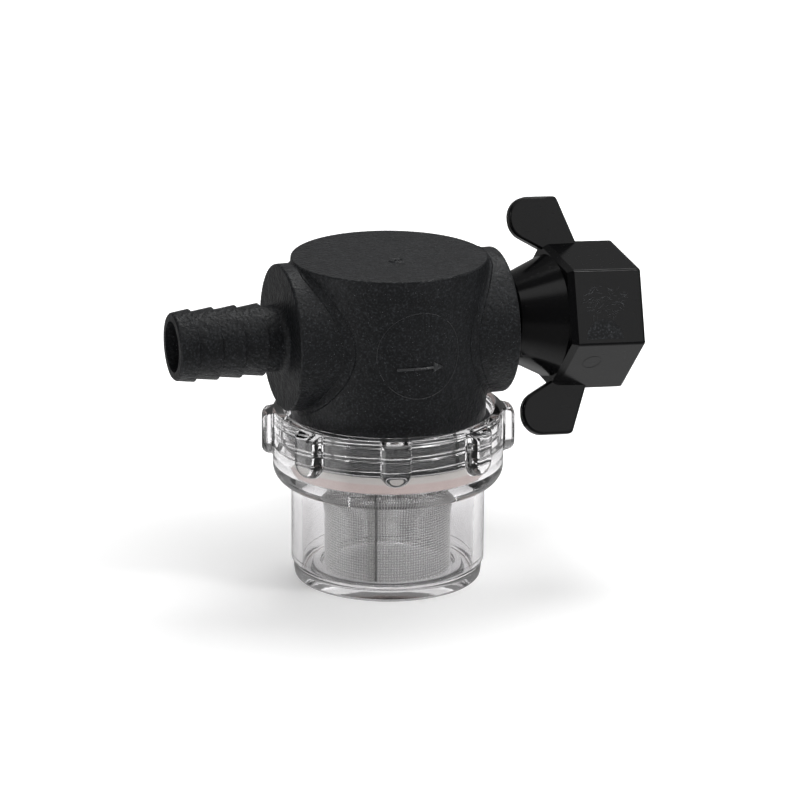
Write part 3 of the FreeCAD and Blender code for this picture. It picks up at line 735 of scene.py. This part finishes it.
@dataclass
class Bowl:
    """The clear bowl: one closed turned surface whose radius also carries the grip lugs and the thread.

    The first lug stands lug_start degrees from -Y, and a lug's width is measured at the radius lug_middle.
    """

    foot_radius: float = 19.4
    foot_height: float = 3.9
    foot_step: float = 0.3
    cup_radius: float = 20.15
    cup_bore: float = 17.95
    cup_top: float = 20.7
    floor_top: float = 2.4
    ring_bore: float = 13.92
    ring_radius: float = 15.8
    ring_top: float = 3.1
    seat_radius: float = 20.6
    seat_height: float = 24.22
    seat_top: float = 28.2
    collar_radius: float = 24.0
    collar_top: float = 36.4
    collar_bore: float = 21.67
    lug_count: int = 8
    lug_start: float = 14.3
    lug_half: float = 3.2
    lug_middle: float = 25.2
    lug_reach: float = 26.3
    lug_top: float = 36.1
    lug_bottom: float = 26.7
    lug_round: float = 1.6

    def thread(self) -> Thread:
        """The female thread, half a pitch away from the head's."""
        phase = BOWL_PHASE + BOWL_PITCH / 2
        ridge = {"pitch": BOWL_PITCH, "phase": phase, "depth": 0.8, "crest": 0.5, "foot": 1.35}
        return Thread(root=self.collar_bore, low=28.35, high=35.8, side=Side.FEMALE, **ridge)

    def profile(self) -> np.ndarray:
        """Half section from the middle of the foot, up the outside, over the rim and down the inside.

        Returns:
            (n, 2) radius and height; the first and last points lie on the axis.
        """
        corners = [
            (0.0, 0.0, 0.0, 5),
            (self.foot_radius, 0.0, 0.8, 2),
            (self.cup_radius - self.foot_step, self.foot_height, 0.06, 1),
            (self.cup_radius, self.foot_height, 0.06, 6),
            (self.cup_radius, self.cup_top, 0.06, 1),
            (self.collar_radius, self.cup_top, 3.7, 58),
            (self.collar_radius, self.collar_top, 0.45, 1),
            (self.collar_bore, self.collar_top, 0.45, 56),
            (self.collar_bore, self.seat_top, 0.12, 1),
            (self.seat_radius, self.seat_top, 0.12, 2),
            (self.seat_radius, self.seat_height, 0.1, 1),
            (self.cup_bore, self.seat_height, 0.2, 6),
            (self.cup_bore, self.floor_top, 1.5, 1),
            (self.ring_radius, self.floor_top, 0.3, 1),
            (self.ring_radius, self.ring_top, 0.3, 1),
            (self.ring_bore, self.ring_top, 0.3, 1),
            (self.ring_bore, self.floor_top, 0.3, 4),
            (0.0, self.floor_top, 0.0, 1),
        ]
        return rounded_path(corners)

    def columns(self) -> np.ndarray:
        """Angles of the grid: close together at the lugs' sides and wide apart between the lugs.

        Returns:
            The angles of one turn, in order.
        """
        crown_end, foot_end, half = 2.0 / self.lug_middle, 3.5 / self.lug_middle, math.pi / self.lug_count
        spans = ((0, crown_end, 6), (crown_end, foot_end, 14), (foot_end, half, 10))
        side = np.concatenate([np.linspace(*span)[:-1] for span in spans])
        sector = np.concatenate([-side[:0:-1], side, [half]])
        middles = -TURN / 4 - math.radians(self.lug_start) + TURN * np.arange(self.lug_count) / self.lug_count
        return (middles[:, None] + sector[None, :]).ravel()

    def lug_relief(self, angle: np.ndarray, height: np.ndarray) -> np.ndarray:
        """Height of the lugs above the collar.

        The distance inside a lug's outline is the least of those to its straight sides, its half-round foot
        and its flat top. Inside, the relief rises as a straight wall and then a quarter circle.

        Args:
            angle: angle round the axis.
            height: height on the axis.

        Returns:
            The relief in millimetres.
        """
        step = TURN / self.lug_count
        turn = angle + TURN / 4 + math.radians(self.lug_start)
        across = (turn - np.round(turn / step) * step) * self.lug_middle
        below = np.minimum(height - self.lug_bottom - self.lug_half, 0)
        inside = np.minimum(self.lug_half - np.hypot(across, below), self.lug_top - height)
        wall = self.lug_reach - self.collar_radius - self.lug_round
        near = np.clip(inside / self.lug_round, 0, 1)
        crown = wall + self.lug_round * np.sqrt(1 - (1 - near) ** 2)
        return crown * ramp(inside, -0.2, 0.0)

    def surface(self) -> Shape:
        """The whole bowl: radius = profile + lug relief outside the collar - thread relief inside it.

        Returns:
            The points and the faces.
        """
        profile = self.profile()[1:-1]
        angle = self.columns()[None, :]
        radius, height = profile[:, 0:1], profile[:, 1:2]
        outside = radius > (self.collar_bore + self.collar_radius) / 2
        bore = np.isclose(radius, self.collar_bore)
        radius = radius + np.where(outside, self.lug_relief(angle, height), 0)
        radius = radius - np.where(bore, self.thread().relief(angle, height), 0)
        rows, columns = radius.shape
        points = polar(radius, angle, height).reshape(-1, 3)
        points = np.concatenate([points, [[0, 0, 0], [0, 0, self.floor_top]]])
        rim = np.arange(columns)
        foot = fan_faces(rim, rows * columns, turned=True)
        floor = fan_faces(rim + (rows - 1) * columns, rows * columns + 1)
        return points, [grid_faces(rows, columns, close_columns=True), np.concatenate([foot, floor])]

    def build(self, clear: Material, rubber: Material) -> None:
        """Makes the bowl and dresses its gasket.

        Clear plastic lets the light of a lamp through, so the bowl casts no shadow on what it holds.

        Args:
            clear: the bowl's finish.
            rubber: the gasket's finish.
        """
        bowl = add_piece("clear_bowl", *self.surface(), clear, "bowl", "clear_moulding")
        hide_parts("bowl")
        bowl.visible_shadow = False
        dress("bowl_gasket", rubber)


@dataclass
class Screen:
    """Plain-woven wire mesh rolled to a tube, with one lap seam.

    The real cloth may be finer: its pitch and wire are drawn as coarse as they need to be to show.
    """

    bore: float = 12.8
    low: float = 2.45
    high: float = 35.95
    pitch: float = 0.56
    wire: float = 0.23
    seam_from: float = 28.5
    seam_angle: float = 6.5
    edge_radius: float = 0.11
    edge_gap: float = 0.017
    edge_out: float = 0.598

    @property
    def middle(self) -> float:
        """Radius of the cloth's middle surface."""
        return self.bore + self.wire

    @property
    def count(self) -> int:
        """Number of upright wires, even so that the weave closes."""
        return 2 * round(TURN * self.middle / self.pitch / 2)

    @property
    def rows(self) -> int:
        """Number of ring wires."""
        return int((self.high - self.low) / self.pitch)

    def weave(self, place: np.ndarray, number: np.ndarray) -> np.ndarray:
        """Offset of a wire from the middle surface: wire radius * cos(pi * (crossings passed + number))."""
        return self.wire / 2 * np.cos(math.pi * (place + number))

    def standing(self, angles: np.ndarray, radius: Any, height: np.ndarray, outline: np.ndarray) -> Shape:
        """Tubes that stand side by side round the axis.

        Args:
            angles: each tube's angle.
            radius: radius of the path, for each tube and height.
            height: heights of the path's steps.
            outline: the tube's section.

        Returns:
            The points and the faces.
        """
        path = polar(radius, angles[:, None], height[None, :])
        out = polar(1.0, angles, 0.0)[:, None, :]
        side = polar(1.0, angles + TURN / 4, 0.0)[:, None, :]
        return many_tubes(tube_points(path, side, -out, outline), closed=False)

    def uprights(self, angles: np.ndarray, numbers: np.ndarray, middle: float) -> Shape:
        """Upright wires that pass in and out of the ring wires.

        Args:
            angles: each wire's angle.
            numbers: each wire's number in the weave.
            middle: radius of the cloth's middle surface.

        Returns:
            The points and the faces.
        """
        crossing = np.arange(2 * self.rows) / 2
        height = self.low + self.pitch * (crossing + 0.5)
        height[[0, -1]] = self.low, self.high
        radius = middle + self.weave(crossing[None, :], numbers[:, None])
        return self.standing(angles, radius, height, ring_outline(self.wire / 2, 4))

    def lying(self, angle: np.ndarray, place: np.ndarray, middle: float, closed: bool) -> Shape:
        """Ring wires, one above another, that pass out and in of the upright wires.

        Args:
            angle: angles of the path's steps.
            place: crossings passed at each step.
            middle: radius of the cloth's middle surface.
            closed: the wires go all the way round.

        Returns:
            The points and the faces.
        """
        number = np.arange(self.rows)
        radius = middle - self.weave(place[None, :], number[:, None])
        height = self.low + self.pitch * (number + 0.5)
        path = polar(radius, angle[None, :], height[:, None])
        out = polar(1.0, angle, 0.0)[None]
        return many_tubes(tube_points(path, out, UP, ring_outline(self.wire / 2, 4)), closed)

    def rings(self) -> Shape:
        """The first layer's ring wires, each a closed circle."""
        place = np.arange(2 * self.count) / 2
        return self.lying(TURN * place / self.count, place, self.middle, closed=True)

    def lap(self) -> Shape:
        """The second layer of cloth at the seam: short arcs of ring wire and a few upright wires.

        Returns:
            The points and the faces.
        """
        start = -TURN / 4 - math.radians(self.seam_from + self.seam_angle)
        end = start + math.radians(self.seam_angle)
        outer = self.middle + self.wire * 2
        wires = round(outer * (end - start) / self.pitch)
        place = np.arange(2 * wires + 1) / 2
        arcs, faces = self.lying(start + (end - start) * place / wires, place, outer, closed=False)
        order = np.arange(wires + 1)
        stems, more = self.uprights(start + (end - start) * order / wires, order, outer)
        return np.concatenate([arcs, stems]), faces + [block + len(arcs) for block in more]

    def edge(self) -> Shape:
        """The lap's welded edge: two straight upright wires side by side, outside the second layer.

        Returns:
            The points and the faces.
        """
        angles = -TURN / 4 - math.radians(self.seam_from) + np.array([0.0, self.edge_gap])
        height = np.linspace(self.low, self.high, 8)
        outline = ring_outline(self.edge_radius, 6)
        return self.standing(angles, self.middle + self.edge_out, height, outline)

    def build(self, steel: Material, lapped: Material, welded: Material) -> None:
        """Makes the sets of wires, which together stand for the frame's screen.

        Args:
            steel: the wire's finish.
            lapped: the finish of the wires in the lap, which lie further out.
            welded: the finish of the lap's welded edge, darkened as painted shade of the seam's gap.
        """
        order = np.arange(self.count)
        stems = self.uprights(TURN * order / self.count, order, self.middle)
        for name, shape, finish in (
            ("screen_uprights", stems, steel),
            ("screen_rings", self.rings(), steel),
            ("screen_lap", self.lap(), lapped),
            ("screen_lap_edge", self.edge(), welded),
        ):
            wires = add_piece(name, *shape, finish, "screen", "wire_mesh")
            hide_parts("screen")


@dataclass
class SwivelNut:
    """The winged nut, its thread and its mould marks, in its own frame along the hinge of the joint."""

    flats: float = 27.0
    wing_lean: float = 21.5
    bore: float = 10.6
    washer_end: float = 8.1
    mouth: float = 19.6
    ring_flat: float = 150.0
    ring_place: tuple[float, float] = (10.2, -1.7)
    ring_radius: float = 1.95
    ring_line: float = 0.06
    mended_flat: float = 90.0
    disc_place: tuple[float, float] = (11.3, 6.6)
    disc_radius: float = 4.4
    flat_along: tuple[float, float] = (6.6, 18.6)
    flat_across: tuple[float, float] = (-5.6, 6.0)
    scratch_count: int = 110
    scratch_seed: int = 7
    scratch_radius: tuple[float, float] = (4.6, 11.0)
    scratch_slant: float = 0.35
    scratch_angle: tuple[float, float] = (0.95, 2.1)
    scratch_span: tuple[float, float] = (0.01, 0.09)
    scratch_width: tuple[float, float] = (0.012, 0.034)

    def frame(self) -> Matrix:
        """The nut's own axes: Z out of its mouth, X towards the upper wing, from the joint's place and axis.

        Returns:
            The matrix from the nut's own axes to the row frame, in millimetres.
        """
        joint = next(item for item in frame["joints"] if item["name"] == "nut_spin")
        axis = Vector(joint["axis"]).normalized()
        up = Vector((0, 0, 1))
        level = (up - axis * up.dot(axis)).normalized()
        wing = Matrix.Rotation(-math.radians(self.wing_lean), 3, axis) @ level
        turned = Matrix((wing, axis.cross(wing), axis)).transposed().to_4x4()
        return Matrix.Translation(Vector(joint["pos_m"]) / MM) @ turned

    def placed(self, points: np.ndarray) -> np.ndarray:
        """Carries points from the nut's own axes to the row frame."""
        place = np.array(self.frame())
        return points @ place[:3, :3].T + place[:3, 3]

    def on_flat(self, flat: float, along: np.ndarray, across: np.ndarray, lift: np.ndarray) -> np.ndarray:
        """Places on one flat of the hexagon: flats are at flat degrees from the upper wing.

        Args:
            flat: angle of the flat's normal about the nut's axis.
            along: place along the axis.
            across: place across the flat.
            lift: height above it.

        Returns:
            Points in the nut's own axes.
        """
        turn = math.radians(flat)
        out = np.array([math.cos(turn), math.sin(turn), 0.0])
        side = np.array([-math.sin(turn), math.cos(turn), 0.0])
        along, across, lift = np.broadcast_arrays(along, across, lift)
        high = self.flats / 2 + lift[..., None]
        return high * out + across[..., None] * side + along[..., None] * UP

    def ring_mark(self) -> Shape:
        """Fine raised ring left by an ejector: a thin half-buried tube along a circle on a flat.

        Returns:
            The points and the faces.
        """
        steps = 72
        angle = TURN * np.arange(steps)[:, None] / steps
        section = ring_outline(self.ring_line, 6)
        reach = self.ring_radius + section[:, 0]
        along = self.ring_place[0] + reach * np.sin(angle)
        across = self.ring_place[1] + reach * np.cos(angle)
        points = self.on_flat(self.ring_flat, along, across, section[:, 1][None])
        return many_tubes(self.placed(points)[None], closed=True)

    def disc_mark(self) -> Shape:
        """Matt half-disc on a flat where the tool was mended: a very low dome whose rim is sunk in the flat.

        At a part r of the radius, the lift is dome - (dome + sink) * r^6.

        Returns:
            The points and the faces.
        """
        steps, sides, dome, sink = 12, 48, 0.022, 0.008
        part = np.linspace(0, 1, steps)[:, None]
        angle = np.linspace(0, math.pi, sides)[None, :]
        along = self.disc_place[0] + self.disc_radius * part * np.cos(angle)
        across = self.disc_place[1] - self.disc_radius * part * np.sin(angle)
        points = self.placed(self.on_flat(self.mended_flat, along, across, dome - (dome + sink) * part**6))
        return points.reshape(-1, 3), [grid_faces(steps, sides)]

    def scratches(self) -> Shape:
        """Handling scratches on the mended flat: hair-thin ridges along arcs about the disc mark.

        Each runs at radius r0 + slant * t and angle a0 + span * t about the mark's middle, with t from -1 to
        1, stays within flat_along and flat_across, and is thin at both ends. Real ones are thinner than
        these, which are drawn wide enough to show.

        Returns:
            The points and the faces.
        """
        random = np.random.default_rng(self.scratch_seed)
        place = np.linspace(-1, 1, 9)

        def drawn(limits: tuple[float, float]) -> np.ndarray:
            """One even random value between the limits for each scratch."""
            return random.uniform(*limits, self.scratch_count)[:, None]

        middle, edge = self.disc_place
        first = drawn(self.scratch_radius)
        radius = first + random.normal(0.0, self.scratch_slant, self.scratch_count)[:, None] * place
        angle = drawn(self.scratch_angle) + drawn(self.scratch_span) * place
        width = drawn(self.scratch_width) * (1 - 0.8 * place**2)
        along = np.clip(middle + radius * np.cos(angle), *self.flat_along)[..., None]
        across = np.clip(edge - radius * np.sin(angle), *self.flat_across)[..., None]
        ridge = ring_outline(1.0, 4)
        spread, lift = width[..., None] * ridge[:, 0], width[..., None] * ridge[:, 1] * 0.6
        along = along + np.cos(angle)[..., None] * spread
        across = across - np.sin(angle)[..., None] * spread
        points = self.on_flat(self.mended_flat, along, across, lift)
        return many_tubes(self.placed(points), closed=False)

    def build(self, gloss: Material, worn: Material, scratched: Material, rubber: Material) -> None:
        """Dresses the nut and its washer, and adds its thread and marks.

        Args:
            gloss: the nut's finish.
            worn: the finish of the matt mark.
            scratched: the finish of the scratches.
            rubber: the washer's finish.
        """
        dress("swivel_nut", gloss)
        dress("nut_washer", rubber)
        ridge = {"pitch": PIPE_PITCH, "phase": 0.0, "depth": 0.85, "crest": 0.3, "foot": 1.3}
        thread = Thread(root=self.bore, low=self.washer_end, high=self.mouth, side=Side.FEMALE, **ridge)
        points, faces = thread.ridge(96)
        for name, shape, finish in (
            ("nut_thread", (self.placed(points), faces), gloss),
            ("nut_ring_mark", self.ring_mark(), gloss),
            ("nut_disc_mark", self.disc_mark(), worn),
            ("nut_scratches", self.scratches(), scratched),
        ):
            add_piece(name, *shape, finish, "nut", "black_moulding")


@dataclass
class Studio:
    """White sweep, soft lights and the camera."""

    place: tuple[float, float, float] = (-0.2580, -0.7830, 0.2946)
    right: tuple[float, float, float] = (0.9494, -0.3140, 0.0059)
    up: tuple[float, float, float] = (0.0880, 0.2843, 0.9547)
    lens: float = 187.2
    floor_size: float = 6.0
    floor_drop: float = 0.00004
    sky: float = 0.22
    front: float = 0.08
    glow: float = 0.2
    far_glow: float = 0.6
    table: float = 1.1
    dim: float = 0.3
    flank: float = 2.2
    pale_side: tuple[float, float, float] = (0.42, 0.86, -0.3)
    aim: tuple[float, float, float] = (0.0, 0.0, 0.04)

    def camera(self) -> None:
        """A long lens a little above and to the left of the front."""
        data = bpy.data.cameras.new("camera")
        data.lens = self.lens
        data.sensor_width = 36.0
        data.clip_end = 50.0
        camera = bpy.data.objects.new("camera", data)
        right, up = Vector(self.right).normalized(), Vector(self.up).normalized()
        back = right.cross(up).normalized()
        up = back.cross(right)
        turned = Matrix((right, up, back)).transposed().to_4x4()
        camera.matrix_world = Matrix.Translation(self.place) @ turned
        bpy.context.scene.collection.objects.link(camera)
        bpy.context.scene.camera = camera

    def floor(self) -> None:
        """A flat white floor just under the foot, which glows more with the distance from the object.

        Gloss doesn't mirror it and shows the lower half of the room there instead.
        """
        half, side = self.floor_size / 2, 9
        corner = np.linspace(-half, half, side)
        x, y = np.meshgrid(corner, corner)
        points = np.stack([x, y, np.full_like(x, -self.floor_drop)], -1).reshape(-1, 3)
        mesh = bpy.data.meshes.new("floor")
        mesh.from_pydata(points.tolist(), [], grid_faces(side, side).tolist())
        material, tree = new_material("matt_white_sweep")
        place = add_node(tree, "TexCoord").outputs["Object"]
        away = add_node(tree, "VectorMath", {0: place}, operation="LENGTH").outputs["Value"]
        glow = {0: away, 1: 0.03, 2: 0.13, 3: self.glow, 4: self.far_glow}
        look = {
            "Base Color": linear("#fafafa"),
            "Roughness": 0.9,
            "Emission Color": linear("#ffffff"),
            "Emission Strength": add_node(tree, "MapRange", glow).outputs[0],
        }
        mesh.materials.append(finished(material, look))
        floor = bpy.data.objects.new("floor", mesh)
        bpy.context.scene.collection.objects.link(floor)
        floor.visible_glossy = False

    def world(self) -> None:
        """The room: pale behind and to the right, and dark on the viewer's side.

        The upper half goes by the angle to the pale side. The lower half, which only gloss sees, goes by Z
        and X: straight down and the left are bright.
        """
        world = bpy.data.worlds.new("white_room")
        bpy.context.scene.world = world
        world.use_nodes = True
        tree = world.node_tree
        tree.nodes.clear()
        way = add_node(tree, "TexCoord").outputs["Generated"]
        dot = add_node(tree, "VectorMath", {0: way, 1: self.pale_side}, operation="DOT_PRODUCT")
        parts = add_node(tree, "SeparateXYZ", {0: way}).outputs
        above, below, flank = [
            add_node(tree, "MapRange", inputs, interpolation_type="SMOOTHSTEP").outputs[0]
            for inputs in (
                {0: dot.outputs["Value"], 1: -0.5, 2: 0.6, 3: self.front, 4: self.sky},
                {0: parts[2], 1: -0.93, 2: -0.55, 3: self.table, 4: self.dim},
                {0: parts[0], 1: -0.97, 2: -0.72, 3: self.flank, 4: 0.0},
            )
        ]
        low = add_node(tree, "Math", {0: below, 1: flank}, operation="MAXIMUM").outputs[0]
        share = add_node(tree, "MapRange", {0: parts[2], 1: -0.05, 2: 0.05}).outputs[0]
        halves = {"Factor": share, "A": low, "B": above}
        level = add_node(tree, "Mix", halves, data_type="FLOAT").outputs[0]
        sky = add_node(tree, "Background", {0: (1.0, 1.0, 1.0, 1.0), 1: level}).outputs[0]
        add_node(tree, "OutputWorld", {0: sky})

    def lamp(
        self, name: str, place: tuple[float, float, float], size: tuple[float, float], power: float
    ) -> None:
        """A soft rectangular lamp that faces the object.

        Args:
            name: its name.
            place: where it is, in metres.
            size: its width and height.
            power: its power in watts.
        """
        data = bpy.data.lights.new(name, "AREA")
        data.shape = "RECTANGLE"
        data.size, data.size_y = size
        data.energy = power
        lamp = bpy.data.objects.new(name, data)
        lamp.location = place
        way = Vector(self.aim) - Vector(place)
        lamp.rotation_euler = way.to_track_quat("-Z", "Y").to_euler()
        bpy.context.scene.collection.objects.link(lamp)

    def build(self) -> None:
        """Sets up the room."""
        self.camera()
        self.floor()
        self.world()
        for lamp in (
            ("top", (0.1, -0.3, 0.9), (0.8, 0.6), 2.3),
            ("back", (0.25, 0.36, 0.92), (0.5, 0.5), 4.2),
            ("left", (-0.75, -0.35, 0.5), (0.035, 0.5), 0.6),
            ("right", (0.46, -0.72, 0.38), (0.5, 0.36), 0.7),
            ("strip", (0.8, -0.3, 0.5), (0.03, 0.5), 0.7),
            ("key", (0.5, -0.5, 0.85), (0.12, 0.12), 1.6),
            ("kick", (-0.5, -0.6, 0.65), (0.08, 0.08), 0.6),
        ):
            self.lamp(*lamp)
        bpy.context.scene.view_settings.view_transform = "Standard"


def main() -> None:
    """Builds the room, then each sub-assembly."""
    logging.basicConfig(level=logging.INFO, format="%(message)s")
    Studio().build()
    rubbed = MouldedBlack(
        "glass_filled_nylon_rubbed", "#1d1e20", "#2b2c2e", roughness=0.3, shine=0.5, grain_height_mm=0.03
    )
    Head().build(MouldedBlack().material(), rubbed.material())
    # The gasket's paler top is painted light.
    gasket = MouldedRubber("rubber_pressed_pink_brown", "#d3bfba", "#dfcdc8", painted_light_from_mm=26.2)
    Bowl().build(ClearMoulding().material(), gasket.material())
    # The lap's wires carry the painted shade in their hollows too, and its edge wires are darkened as painted
    # shade of the seam's gap.
    lapped = WovenWire("stainless_wire_lapped", "#f0efed", "#82817f", bright_from_mm=13.5)
    welded = WovenWire("stainless_wire_weld_painted_shade", "#5f5e5c", "#3a3938", bright_from_mm=13.5)
    Screen().build(WovenWire().material(), lapped.material(), welded.material())
    # The worn mark and the scratches carry painted glints too: paler patches where the fine noise peaks.
    worn = MouldedBlack(
        "acetal_worn_matt", painted_glint="#3e4043", roughness=0.5, grain_height_mm=0.05, speck_share=0.9
    )
    scratched = MouldedBlack("acetal_scratched_pale", "#2a2c2e", "#595b5f", "#7a7d81", grain_height_mm=0.02)
    washer = MouldedRubber("rubber_pressed_black", "#0d0d0e", "#19191a")
    SwivelNut().build(GlossBlack().material(), worn.material(), scratched.material(), washer.material())


if __name__ == "__main__":
    main()
